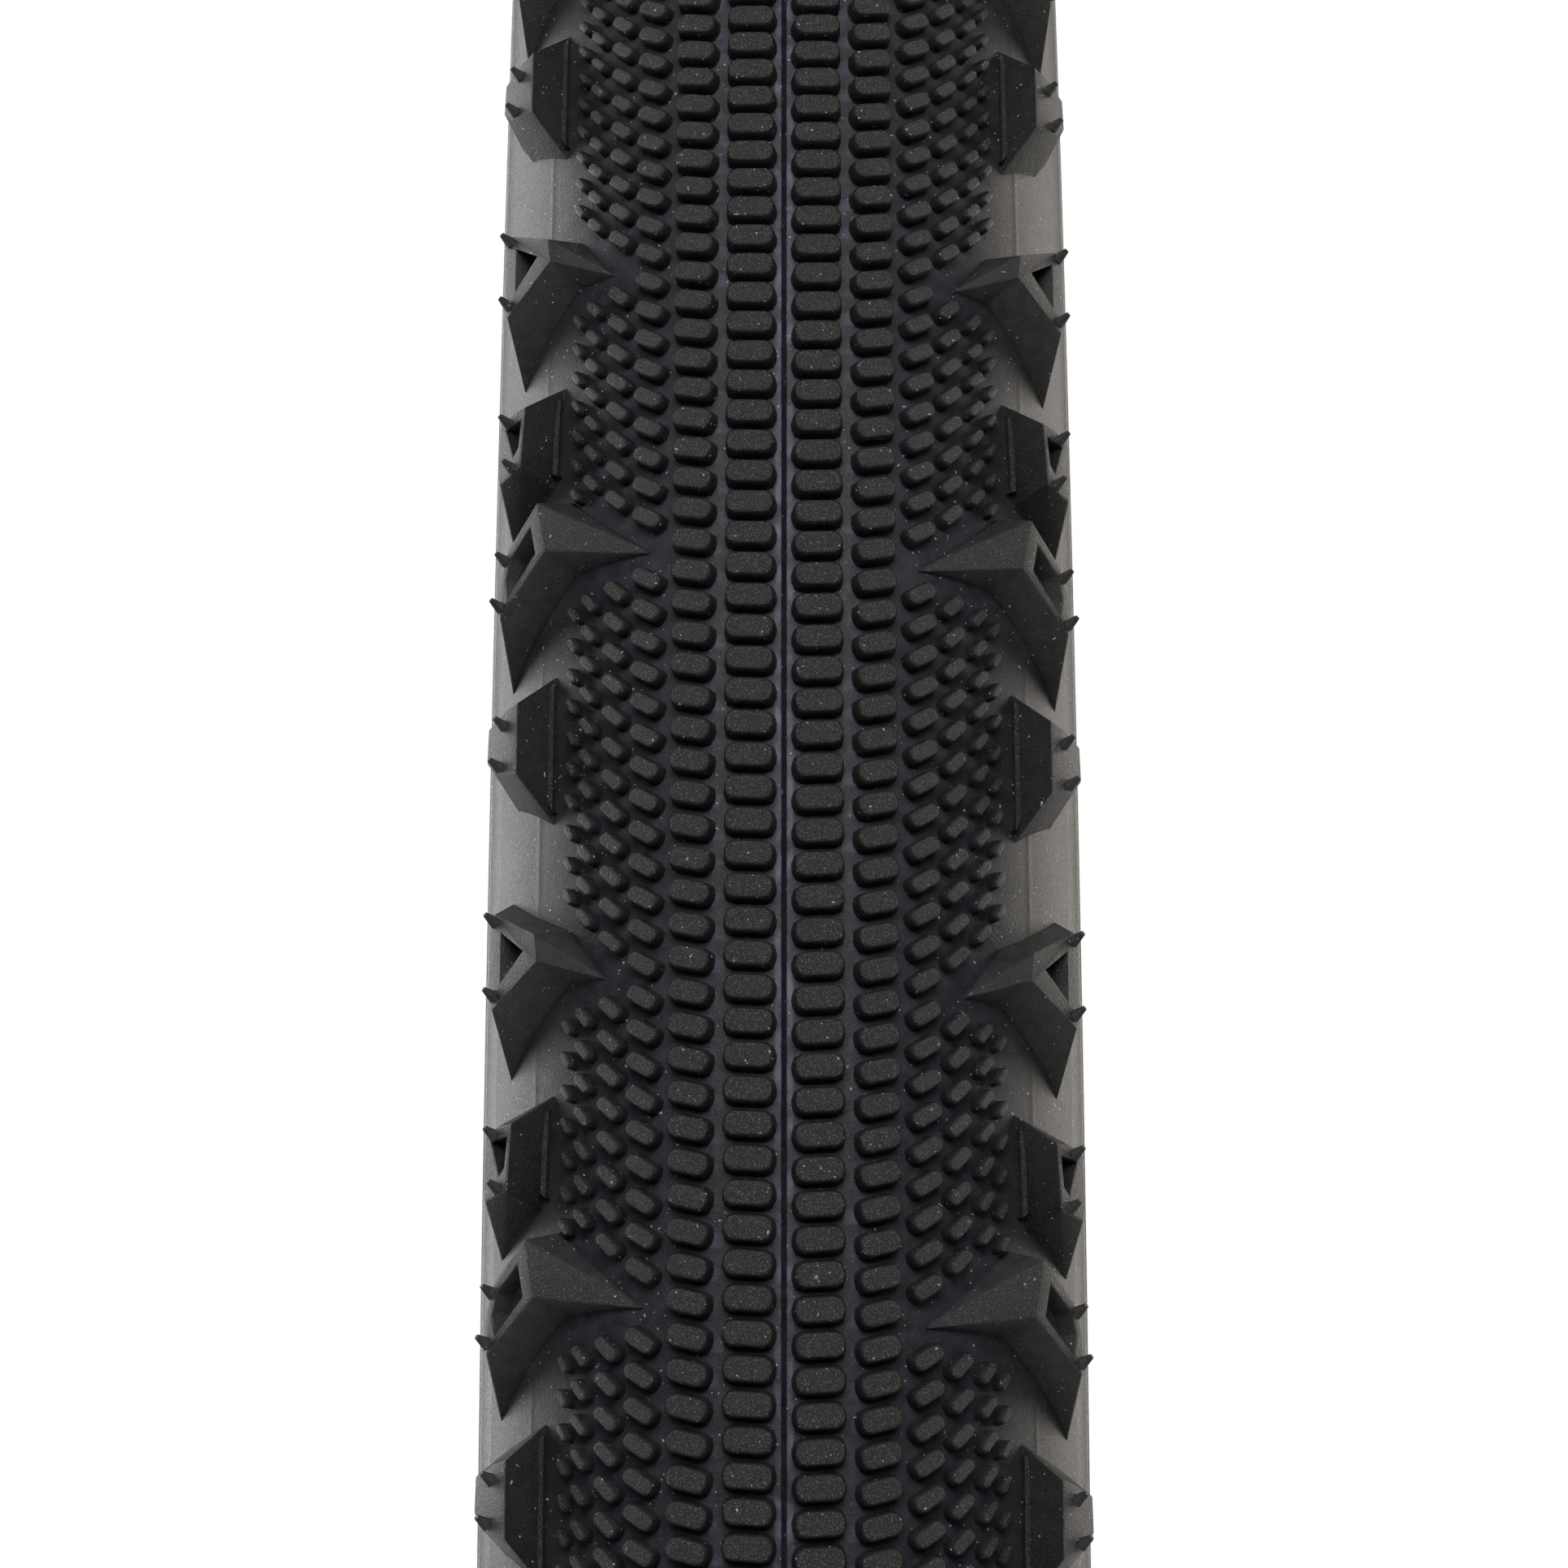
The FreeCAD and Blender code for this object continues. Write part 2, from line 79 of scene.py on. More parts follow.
centreRadius = tire["crownRadius"] - tire["sectionRadius"]
aroundLength = 2 * math.pi * tire["crownRadius"]
patternLength = aroundLength / tire["patterns"]
knurlPitch = patternLength / tire["knurls"]


def deselectAll():
    if bpy.context.object and bpy.context.object.mode != "OBJECT":
        bpy.ops.object.mode_set(mode="OBJECT")
    bpy.ops.object.select_all(action="DESELECT")


def pick(*pieces):
    deselectAll()
    for piece in pieces:
        piece.select_set(True)
    bpy.context.view_layer.objects.active = pieces[0]


def newest(name):
    piece = bpy.context.object
    piece.name = name
    piece.data.name = name
    return piece


def editMesh(piece):
    pick(piece)
    bpy.ops.object.mode_set(mode="EDIT")
    bpy.ops.mesh.select_all(action="DESELECT")


def selectVerts(piece, test):
    bpy.ops.mesh.select_mode(type="VERT")
    bpy.ops.mesh.select_all(action="DESELECT")
    shape = bmesh.from_edit_mesh(piece.data)
    for vert in shape.verts:
        vert.select = test(vert.co)
    shape.select_flush(True)
    bmesh.update_edit_mesh(piece.data)


def selectEdges(piece, test):
    bpy.ops.mesh.select_mode(type="EDGE")
    bpy.ops.mesh.select_all(action="DESELECT")
    shape = bmesh.from_edit_mesh(piece.data)
    for edge in shape.edges:
        edge.select = test(edge.verts[0].co, edge.verts[1].co)
    bmesh.update_edit_mesh(piece.data)


def selectFaces(piece, test):
    bpy.ops.mesh.select_mode(type="FACE")
    bpy.ops.mesh.select_all(action="DESELECT")
    shape = bmesh.from_edit_mesh(piece.data)
    for face in shape.faces:
        face.select = test(face)
    bmesh.update_edit_mesh(piece.data)


def widenSelection(x, y):
    bpy.ops.transform.resize(value=(x, y, 1), center_override=(0, 0, 0))


def faceOutwards(piece):
    editMesh(piece)
    bpy.ops.mesh.select_all(action="SELECT")
    bpy.ops.mesh.normals_make_consistent(inside=False)
    bpy.ops.object.mode_set(mode="OBJECT")


def finishPlace(piece):
    pick(piece)
    bpy.ops.object.transform_apply(location=True, rotation=True, scale=True)


def repeatAlong(piece, count, step):
    # copies a flat piece down the tread
    pick(piece)
    bpy.ops.object.modifier_add(type="ARRAY")
    array = piece.modifiers[-1]
    array.use_relative_offset = False
    array.use_constant_offset = True
    array.constant_offset_displace = (0, -step, 0)
    array.count = count
    bpy.ops.object.modifier_apply(modifier=array.name)


def wrapOnTire(piece):
    # rolls a flat piece round the section and round the wheel
    mesh = piece.data
    spots = np.empty(len(mesh.vertices) * 3)
    mesh.vertices.foreach_get("co", spots)
    across, along, height = spots.reshape(-1, 3).T
    lean = across / tire["sectionRadius"]
    reach = tire["sectionRadius"] + height
    out = centreRadius + reach * np.cos(lean)
    turn = tire["startAngle"] + along / tire["crownRadius"]
    spots = np.column_stack((out * np.cos(turn), reach * np.sin(lean), out * np.sin(turn)))
    mesh.vertices.foreach_set("co", spots.ravel())
    mesh.update()


def smooth(piece, degrees):
    pick(piece)
    bpy.ops.object.shade_smooth_by_angle(angle=math.radians(degrees))


def register(piece, slot, material, *nodes):
    # gives a finished piece its material and body, and hides the CAD nodes it stands for
    piece.data.materials.clear()
    piece.data.materials.append(material)
    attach(piece, "root")
    if nodes:
        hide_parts(*nodes)


def newMaterial(name):
    material = bpy.data.materials.new(name)
    material.use_nodes = True
    return material, material.node_tree


def noise(tree, scale, detail, rough=0.5):
    place = tree.nodes.new("ShaderNodeTexCoord")
    grain = tree.nodes.new("ShaderNodeTexNoise")
    grain.inputs["Scale"].default_value = scale
    grain.inputs["Detail"].default_value = detail
    grain.inputs["Roughness"].default_value = rough
    tree.links.new(place.outputs["Object"], grain.inputs["Vector"])
    return grain.outputs["Fac"]


def ramp(tree, source, *stops):
    # colours or grey values along a 0 to 1 socket, each stop a place and its colour
    colours = tree.nodes.new("ShaderNodeValToRGB")
    edge = colours.color_ramp.elements
    while len(edge) < len(stops):
        edge.new(0.5)
    for element, (place, colour) in zip(edge, stops):
        element.position = place
        element.color = (*colour, 1) if isinstance(colour, tuple) else (colour, colour, colour, 1)
    tree.links.new(source, colours.inputs["Fac"])
    return colours.outputs["Color"]


def reckon(tree, kind, *values):
    # one Math node, on numbers or sockets
    step = tree.nodes.new("ShaderNodeMath")
    step.operation = kind
    for socket, value in zip(step.inputs, values):
        if isinstance(value, (int, float)):
            socket.default_value = value
        else:
            tree.links.new(value, socket)
    return step.outputs["Value"]


def add(tree, first, second):
    return reckon(tree, "ADD", first, second)


def minus(tree, first, second):
    return reckon(tree, "SUBTRACT", first, second)


def times(tree, first, second):
    return reckon(tree, "MULTIPLY", first, second)


def longSide(tree, first, second):
    # the long side of a right triangle, from its two others
    return reckon(tree, "SQRT", add(tree, times(tree, first, first), times(tree, second, second)))


def blend(tree, amount, low, high):
    # mixes two colours or sockets by a 0 to 1 socket
    mix = tree.nodes.new("ShaderNodeMix")
    mix.data_type = "RGBA"
    tree.links.new(amount, mix.inputs["Factor"])
    for socket, value in ((mix.inputs[6], low), (mix.inputs[7], high)):
        if isinstance(value, tuple):
            socket.default_value = (*value, 1)
        else:
            tree.links.new(value, socket)
    return mix.outputs[2]


def softStep(tree, value, edge):
    # 0 below the edge's first number, 1 over its second, soft between
    span = tree.nodes.new("ShaderNodeMapRange")
    span.interpolation_type = "SMOOTHSTEP"
    span.inputs["From Min"].default_value = edge[0]
    span.inputs["From Max"].default_value = edge[1]
    tree.links.new(value, span.inputs["Value"])
    return span.outputs["Result"]


def stripe(tree, value, rise, fall):
    # 1 between the rise and the fall, 0 outside them, soft at both
    return times(tree, softStep(tree, value, rise), minus(tree, 1, softStep(tree, value, fall)))


def bumpFrom(tree, height, strength, distance):
    bump = tree.nodes.new("ShaderNodeBump")
    bump.inputs["Strength"].default_value = strength
    bump.inputs["Distance"].default_value = distance
    tree.links.new(height, bump.inputs["Height"])
    tree.links.new(bump.outputs["Normal"], tree.nodes["Principled BSDF"].inputs["Normal"])


def objectPlace(tree):
    place = tree.nodes.new("ShaderNodeTexCoord")
    parts = tree.nodes.new("ShaderNodeSeparateXYZ")
    tree.links.new(place.outputs["Object"], parts.inputs["Vector"])
    return parts.outputs


def ringPlace(tree):
    # a point's arc from the centre line, its way down the tread and its height over it, in mm
    x, y, z = objectPlace(tree)
    out = minus(tree, longSide(tree, x, z), centreRadius)
    reach = longSide(tree, out, y)
    height = times(tree, minus(tree, reach, tire["sectionRadius"]), 1 / mm)
    arc = times(tree, reckon(tree, "ARCTAN2", y, out), tire["sectionRadius"] / mm)
    turn = minus(tree, tire["startAngle"], reckon(tree, "ARCTAN2", z, x))
    down = times(tree, turn, tire["crownRadius"] / mm)
    return arc, down, height


def facingOut(tree):
    # how squarely a face looks out of the tread, from 0 to 1
    x, y, z = objectPlace(tree)
    surface = tree.nodes.new("ShaderNodeNewGeometry")
    looksAt = tree.nodes.new("ShaderNodeSeparateXYZ")
    tree.links.new(surface.outputs["Normal"], looksAt.inputs["Vector"])
    wheel = longSide(tree, x, z)
    out = minus(tree, wheel, centreRadius)
    ahead = add(tree, times(tree, looksAt.outputs["X"], x), times(tree, looksAt.outputs["Z"], z))
    ahead = times(tree, reckon(tree, "DIVIDE", ahead, wheel), out)
    sideways = times(tree, looksAt.outputs["Y"], y)
    return reckon(tree, "DIVIDE", add(tree, ahead, sideways), longSide(tree, out, y))


bloom = {
    # dusty release bloom beside the parting groove, and lighter bluish patches, one to each knurl pitch,
    # between the first two rows
    "grooveRise": (0.1, 0.16),       # mm from the centre line, where it begins and is full
    "grooveFall": (0.4, 0.62),       # and where it fades
    "betweenRise": (3.15, 3.35),
    "betweenFall": (3.95, 4.15),
    "patchRise": (0.02, 0.14),       # the same down the tread, as parts of the knurls' pitch
    "patchFall": (0.42, 0.56),
    "patchStrength": 0.45,
    "cloudScale": 700,
    "cloud": ((0.42, 0.04), (0.7, 1.0)),
}


def grooveBloomAndPatchMask(tree, arc, down):
    side = reckon(tree, "ABSOLUTE", arc)
    nearGroove = stripe(tree, side, bloom["grooveRise"], bloom["grooveFall"])
    between = stripe(tree, side, bloom["betweenRise"], bloom["betweenFall"])
    onRight = reckon(tree, "GREATER_THAN", arc, 0)
    row = knurlRows["first"]
    start = reckon(tree, "MULTIPLY_ADD", onRight, row["drop"], row["start"])
    pitches = reckon(tree, "DIVIDE", minus(tree, down, start), knurlPitch / mm)
    phase = reckon(tree, "FRACT", pitches)
    patch = stripe(tree, phase, bloom["patchRise"], bloom["patchFall"])
    faint = times(tree, times(tree, between, patch), bloom["patchStrength"])
    return reckon(tree, "MAXIMUM", nearGroove, faint)


skin = {
    # painted light and shade: faces that look squarely out get the lighter top colour, the others the near
    # black flank colour
    "top": (0.7, 0.93),         # how squarely a face looks out, where a top's grain begins and is full
    "floor": (0.1, 0.25),       # mm over the tread, where the floor's tint ends
    "side": (10, 18),           # mm of arc, where the sidewall's tint begins and is full
    "speckEdge": 0.04,          # softness of a speck's rim
    "glossy": 0.12,             # how far the roughness falls below the look's own
    "dull": 0.08,               # and how far it rises above it
}


def rubberMaterial(name, look):
    # black rubber: bluish floor, flanks painted near black as shade, tops painted lighter as light and given
    # pale grain, and specks of dust
    material, tree = newMaterial(name)
    shader = tree.nodes["Principled BSDF"]
    shader.inputs["Specular IOR Level"].default_value = look["specular"]
    arc, down, height = ringPlace(tree)
    mottle = noise(tree, look["mottleScale"], 4)
    crumb = noise(tree, look["crumbScale"], 2, 0.6)
    # painted shade: the flanks' tones are kept near black; painted light: the tops' tones are lighter, with
    # pale grain
    shadedFlank = ramp(tree, mottle, (0.3, look["dark"]), (0.7, look["light"]))
    top = ramp(tree, crumb, (0.4, look["topDark"]), (0.58, look["topLight"]), (0.75, look["topPale"]))
    # lit tops and shaded flanks painted into one material, blended by how squarely a face looks out
    litTopShadedFlankTint = blend(tree, softStep(tree, facingOut(tree), skin["top"]), shadedFlank, top)
    floorTint = ramp(tree, mottle, (0.35, look["floorDark"]), (0.7, look["floorLight"]))
    if look["bloom"]:
        cloud = ramp(tree, noise(tree, bloom["cloudScale"], 3), *bloom["cloud"])
        amount = times(tree, grooveBloomAndPatchMask(tree, arc, down), cloud)
        floorTint = blend(tree, amount, floorTint, look["bloom"])
    stain = noise(tree, look["sideScale"], 5)
    sideTint = ramp(tree, stain, (0.3, look["sideDark"]), (0.7, look["sideLight"]))
    onSide = softStep(tree, reckon(tree, "ABSOLUTE", arc), skin["side"])
    floorTint = blend(tree, onSide, floorTint, sideTint)
    tint = blend(tree, softStep(tree, height, skin["floor"]), floorTint, litTopShadedFlankTint)
    specks = noise(tree, look["speckScale"], 1)
    start = look["speckStart"]
    dust = ramp(tree, specks, (start, 0.0), (start + skin["speckEdge"], 1.0))
    tree.links.new(blend(tree, dust, tint, look["speck"]), shader.inputs["Base Color"])
    rough = ramp(tree, crumb, (0.35, look["rough"] - skin["glossy"]), (0.65, look["rough"] + skin["dull"]))
    tree.links.new(rough, shader.inputs["Roughness"])
    bumpFrom(tree, noise(tree, look["grainScale"], 5, 0.65), look["bump"], look["bumpDepth"])
    return material


def clothMaterial(name, look):
    # rubbered cloth: two families of threads laid across each other on the bias
    material, tree = newMaterial(name)
    shader = tree.nodes["Principled BSDF"]
    shader.inputs["Specular IOR Level"].default_value = look["specular"]
    arc, down = ringPlace(tree)[:2]
    turns = 2 * math.pi * look["bias"] / look["thread"]
    threads = []
    for sense in (1, -1):
        across = add(tree, times(tree, arc, turns), times(tree, down, sense * turns))
        threads.append(reckon(tree, "SINE", across))
    weave = reckon(tree, "MAXIMUM", *threads)
    wear = noise(tree, look["mottleScale"], 4)
    crowns = reckon(tree, "MULTIPLY_ADD", weave, 0.25, 0.5)
    tint = ramp(tree, crowns, (0.3, look["dark"]), (0.8, look["light"]))
    tree.links.new(blend(tree, wear, tint, look["light"]), shader.inputs["Base Color"])
    tree.links.new(ramp(tree, wear, (0.3, 0.6), (0.7, 0.8)), shader.inputs["Roughness"])
    bumpFrom(tree, weave, look["bump"], look["depth"])
    return material


def wireMaterial(name, look):
    # bronze-plated bead wire, drawn and a little stained
    material, tree = newMaterial(name)
    shader = tree.nodes["Principled BSDF"]
    shader.inputs["Metallic"].default_value = 1
    stain = noise(tree, look["stainScale"], 4)
    tint = ramp(tree, stain, (0.3, look["dark"]), (0.7, look["light"]))
    tree.links.new(tint, shader.inputs["Base Color"])
    tree.links.new(ramp(tree, stain, (0.3, 0.25), (0.7, 0.5)), shader.inputs["Roughness"])
    return material


# tints are red, green and blue, and scales are noise cells to the metre
baseLook = {
    # the flank tones below are kept near black as painted shade
    "dark": (0.006, 0.006, 0.0065),            # flanks
    "light": (0.013, 0.0127, 0.0127),
    "mottleScale": 1300,
    "topDark": (0.012, 0.0115, 0.011),
    "topLight": (0.027, 0.026, 0.025),
    "topPale": (0.14, 0.137, 0.133),
    "crumbScale": 11000,
    "floorDark": (0.0095, 0.0095, 0.0138),     # tread between the knurls
    "floorLight": (0.021, 0.021, 0.029),
    "bloom": None,
    "sideDark": (0.009, 0.0084, 0.0077),
    "sideLight": (0.03, 0.0278, 0.0252),
    "sideScale": 260,
    "speck": (0.32, 0.32, 0.33),
    "speckScale": 4200,
    "speckStart": 0.74,
    "rough": 0.42,
    "specular": 0.22,
    "grainScale": 6500,
    "bump": 0.9,
    "bumpDepth": 0.12 * mm,
}
looks = {
    "knurlRubber": baseLook,
    "valleyRubber": {**baseLook, "specular": 0.25, "rough": 0.5, "bump": 0.35, "bloom": (0.085, 0.09, 0.12)},
    "knobRubber": {
        **baseLook,
        "dark": (0.019, 0.0186, 0.0184),
        "light": (0.033, 0.0323, 0.0317),
        "topDark": (0.016, 0.0155, 0.015),
        "topLight": (0.03, 0.029, 0.028),
        "topPale": (0.12, 0.115, 0.11),
    },
    "flatKnobRubber": {
        **baseLook,
        "specular": 0.17,
        # flank tones kept near black as painted shade, top tones lighter as painted light
        "dark": (0.005, 0.005, 0.0052),
        "light": (0.011, 0.0108, 0.0107),
        "topDark": (0.02, 0.0195, 0.019),
        "topLight": (0.042, 0.04, 0.039),
        "topPale": (0.2, 0.19, 0.18),
    },
    "sidewallRubber": {**baseLook, "grainScale": 2500, "bump": 0.4, "specular": 0.14, "rough": 0.36},
    "linerRubber": {**baseLook, "dark": (0.012, 0.012, 0.012), "rough": 0.45},
    "beadRubber": {**baseLook, "rough": 0.55},
}
cloths = {
    "casingCloth": {
        "thread": 0.9,                    # mm from one thread to the next
        "dark": (0.02, 0.018, 0.016),
        "light": (0.06, 0.054, 0.046),
        "depth": 0.08 * mm,
    },
    "chaferCloth": {
        "thread": 0.7,
        "dark": (0.012, 0.012, 0.013),
        "light": (0.035, 0.034, 0.034),
        "depth": 0.1 * mm,
    },
}
everyCloth = {
    "bias": 0.7,          # both families of threads run at 45 degrees to the tread
    "specular": 0.3,
    "mottleScale": 300,
    "bump": 0.6,
}
wireLook = {"dark": (0.3, 0.19, 0.1), "light": (0.55, 0.38, 0.22), "stainScale": 400}
materials = {name: rubberMaterial(name, look) for name, look in looks.items()}
for name, look in cloths.items():
    materials[name] = clothMaterial(name, {**everyCloth, **look})
materials["beadWire"] = wireMaterial("beadWire", wireLook)
print("tire: materials made")


view = {
    "distance": 584.5 * mm,     # camera to wheel centre
    "elevation": 15.0,          # degrees over the axle, seen from the wheel centre
    "pitch": 4.79,              # degrees that it looks down
    "lens": 101.05,
    "sensor": 36,
}
bpy.ops.object.camera_add()
camera = bpy.context.object
camera.name = "camera"
rise = math.radians(view["elevation"])
camera.location = (view["distance"] * math.cos(rise), 0, view["distance"] * math.sin(rise))
camera.rotation_euler = (math.radians(90 - view["pitch"]), 0, math.radians(90))
camera.data.lens = view["lens"]
camera.data.sensor_width = view["sensor"]
camera.data.clip_start = 0.01
camera.data.clip_end = 100
bpy.context.scene.camera = camera

studio = {
    "floorSize": 2.4,
    "floorColour": (0.82, 0.82, 0.82),
    "floorRough": 0.9,
    "backdrop": 1.0,        # brightness of the white that the camera sees
    "fill": 0.09,           # and of the light that it gives
    "lights": [
        # name, place, aim, width, height, power in watts, colour
        ("overhead", (1.05, 0, 0.9), (0.33, 0, 0.05), 1.0, 0.6, 14, (1, 1, 1)),
        ("leftSoftbox", (-0.4, -0.95, 0.25), (0.3, 0, 0.05), 0.9, 1.0, 15.5, (1, 0.99, 1)),
        ("rightSoftbox", (-0.4, 0.95, 0.25), (0.3, 0, 0.05), 0.9, 1.0, 11, (1, 0.95, 0.88)),
    ],
}
floorHeight = -(tire["crownRadius"] + tire["knurlHeight"])
bpy.ops.mesh.primitive_plane_add(size=studio["floorSize"], location=(0, 0, floorHeight))
floor = newest("floor")
finishPlace(floor)
floorMaterial, floorTree = newMaterial("paleFloor")
floorShader = floorTree.nodes["Principled BSDF"]
floorShader.inputs["Base Color"].default_value = (*studio["floorColour"], 1)
floorShader.inputs["Roughness"].default_value = studio["floorRough"]
floor.data.materials.append(floorMaterial)

for lightName, place, aim, width, height, power, colour in studio["lights"]:
    bpy.ops.object.light_add(type="AREA", location=place)
    lamp = bpy.context.object
    lamp.name = lightName
    lamp.data.shape = "RECTANGLE"
    lamp.data.size = width
    lamp.data.size_y = height
    lamp.data.energy = power
    lamp.data.color = colour
    towards = np.array(aim) - np.array(place)
    lamp.rotation_euler = (math.acos(-towards[2] / np.linalg.norm(towards)), 0,
                           math.atan2(towards[1], towards[0]) - math.pi / 2)

world = bpy.data.worlds.new("studio")
bpy.context.scene.world = world
world.use_nodes = True
worldTree = world.node_tree
backdrop = worldTree.nodes["Background"]
backdrop.inputs["Color"].default_value = (1, 1, 1, 1)
seen = worldTree.nodes.new("ShaderNodeLightPath")
strength = worldTree.nodes.new("ShaderNodeMapRange")
strength.inputs["To Min"].default_value = studio["fill"]
strength.inputs["To Max"].default_value = studio["backdrop"]
worldTree.links.new(seen.outputs["Is Camera Ray"], strength.inputs["Value"])
worldTree.links.new(strength.outputs["Result"], backdrop.inputs["Strength"])
bpy.context.scene.view_settings.view_transform = "Standard"
print("tire: camera and studio set up")


def flatSheet(name, leans, top, squares):
    # a flat sheet as long as the tread, between two leans, in squares across and along
    low, high = (math.radians(lean) * tire["sectionRadius"] for lean in leans)
    deselectAll()
    bpy.ops.mesh.primitive_grid_add(x_subdivisions=squares[0], y_subdivisions=squares[1], size=1)
    piece = newest(name)
    piece.location = ((low + high) / 2, -aroundLength / 2, top)
    piece.scale = (high - low, aroundLength, 1)
    finishPlace(piece)
    return piece


def foldLine(piece, arc, width, rise):
    # a fine ridge, or a groove where the rise is negative, running round the wheel
    editMesh(piece)
    for aside in (-width / 2, 0, width / 2):
        bpy.ops.mesh.select_all(action="SELECT")
        bpy.ops.mesh.bisect(plane_co=((arc + aside) * mm, 0, 0), plane_no=(1, 0, 0))
    selectVerts(piece, lambda co: abs(co.x - arc * mm) < width * mm / 10)
    bpy.ops.transform.translate(value=(0, 0, rise * mm))
    bpy.ops.object.mode_set(mode="OBJECT")


def closeRing(piece, thickness):
    # rolls a flat sheet round the wheel, welds its ends and gives it its thickness
    wrapOnTire(piece)
    editMesh(piece)
    bpy.ops.mesh.select_all(action="SELECT")
    bpy.ops.mesh.remove_doubles(threshold=weldGap)
    bpy.ops.object.mode_set(mode="OBJECT")
    bpy.ops.object.modifier_add(type="SOLIDIFY")
    wall = piece.modifiers[-1]
    wall.thickness = thickness
    wall.offset = -1
    bpy.ops.object.modifier_apply(modifier=wall.name)
    smooth(piece, ringSmoothAngle)


ringSmoothAngle = 40      # degrees
shoulder = tire["treadLean"]
bead = tire["beadLean"]
carcass = {
    # node, slot and material, low and high lean in degrees, top over the tread and thickness in mm,
    # squares across and round the wheel
    "linerSkin": ("inner_liner", "liner_rubber", "linerRubber", (-bead, bead), -1.85, 0.2, (36, 300)),
    "innerPly": ("casing_ply_inner", "casing_fabric", "casingCloth", (-bead, bead), -1.55, 0.3, (32, 200)),
    "outerPly": ("casing_ply_outer", "casing_fabric", "casingCloth", (-bead, bead), -1.25, 0.3, (32, 200)),
    "breakerStrip": ("breaker_belt", "breaker_fabric", "casingCloth", (-shoulder, shoulder), -1.0, 0.25,
                     (18, 200)),
    "leftSidewall": ("sidewall_left", "sidewall_rubber", "sidewallRubber", (-bead, -shoulder), 0, 1.25,
                     (24, 500)),
    "rightSidewall": ("sidewall_right", "sidewall_rubber", "sidewallRubber", (shoulder, bead), 0, 1.25,
                      (24, 500)),
    "treadSurface": ("tread_base", "tread_rubber", "valleyRubber", (-shoulder, shoulder), 0, 1.0, (44, 500)),
}
foldLines = {
    # arc from the centre line, width and rise in mm: the parting groove, mould lines and rim lines
    "treadSurface": [(0, 0.34, -0.3), (-16.1, 0.24, 0.025), (16.1, 0.24, 0.025)],
    "leftSidewall": [(-24.4, 0.3, 0.06), (-38.5, 1.0, 0.35)],
    "rightSidewall": [(24.4, 0.3, 0.06), (38.5, 1.0, 0.35)],
}
for name, (node, slot, material, leans, top, thickness, squares) in carcass.items():
    sheet = flatSheet(name, leans, top * mm, squares)
    for line in foldLines.get(name, []):
        foldLine(sheet, *line)
    closeRing(sheet, thickness * mm)
    register(sheet, slot, materials[material], node)
print("tire: carcass rings rolled")


chafer = {
    # corners of the strip's section in mm, across and out from the axle, from the casing's end
    # round the toe and back
    "corners": [(11.375, 316.37), (11.71, 316.0), (11.0, 312.1), (10.4, 311.0), (7.4, 311.0), (7.4, 315.4),
                (10.34, 317.52), (10.67, 317.15), (7.9, 315.15), (7.9, 311.5), (9.9, 311.5), (10.5, 312.1)],
    "round": 0.12 * mm,
    "steps": 400,           # round the wheel
    "smoothAngle": 40,
}


def spunRing(name, corners, side, rounding, steps):
    # a section spun round the axle, with its corners rounded
    deselectAll()
    bpy.ops.mesh.primitive_circle_add(vertices=len(corners), radius=mm, fill_type="NOTHING")
    piece = newest(name)
    for vert, (across, out) in zip(piece.data.vertices, corners):
        vert.co = (out * mm, side * across * mm, 0)
    editMesh(piece)
    bpy.ops.mesh.select_all(action="SELECT")
    bpy.ops.mesh.bevel(offset=rounding, segments=2, affect="VERTICES")
    bpy.ops.mesh.select_all(action="SELECT")
    bpy.ops.mesh.spin(steps=steps, angle=2 * math.pi, center=(0, 0, 0), axis=(0, 1, 0))
    bpy.ops.mesh.select_all(action="SELECT")
    bpy.ops.mesh.remove_doubles(threshold=weldGap)
    bpy.ops.mesh.normals_make_consistent(inside=False)
    bpy.ops.object.mode_set(mode="OBJECT")
    return piece


for sideName, side in (("left", -1), ("right", 1)):
    strip = spunRing(f"{sideName}ChaferStrip", chafer["corners"], side, chafer["round"], chafer["steps"])
    smooth(strip, chafer["smoothAngle"])
    register(strip, "chafer_fabric", materials["chaferCloth"], f"chafer_{sideName}")
for node, material in (("bead_filler", "beadRubber"), ("bead_wire", "beadWire")):
    for sideName in ("left", "right"):
        kept = frame["nodes"][f"{node}_{sideName}"]
        kept.data.materials.clear()
        kept.data.materials.append(materials[material])
print("tire: beads wrapped")


knurl = {
    "foot": 0.17,         # how far the foot stands out all round, as a part of the width
    "waist": 0.08,        # and how far the waist does
    "waistHeight": 1 / 3,    # how far up the waist is, as a part of the height
    "edge": 0.1 * mm,     # rounding of the top edge
    "inset": 0.1 * mm,    # soft band round the flat middle of the top
    "root": 0.2 * mm,     # how deep it is let into the tread
    "lastUpper": 12,      # the last knurl above the short wedge, counted from nought
    "smoothAngle": 60,
}


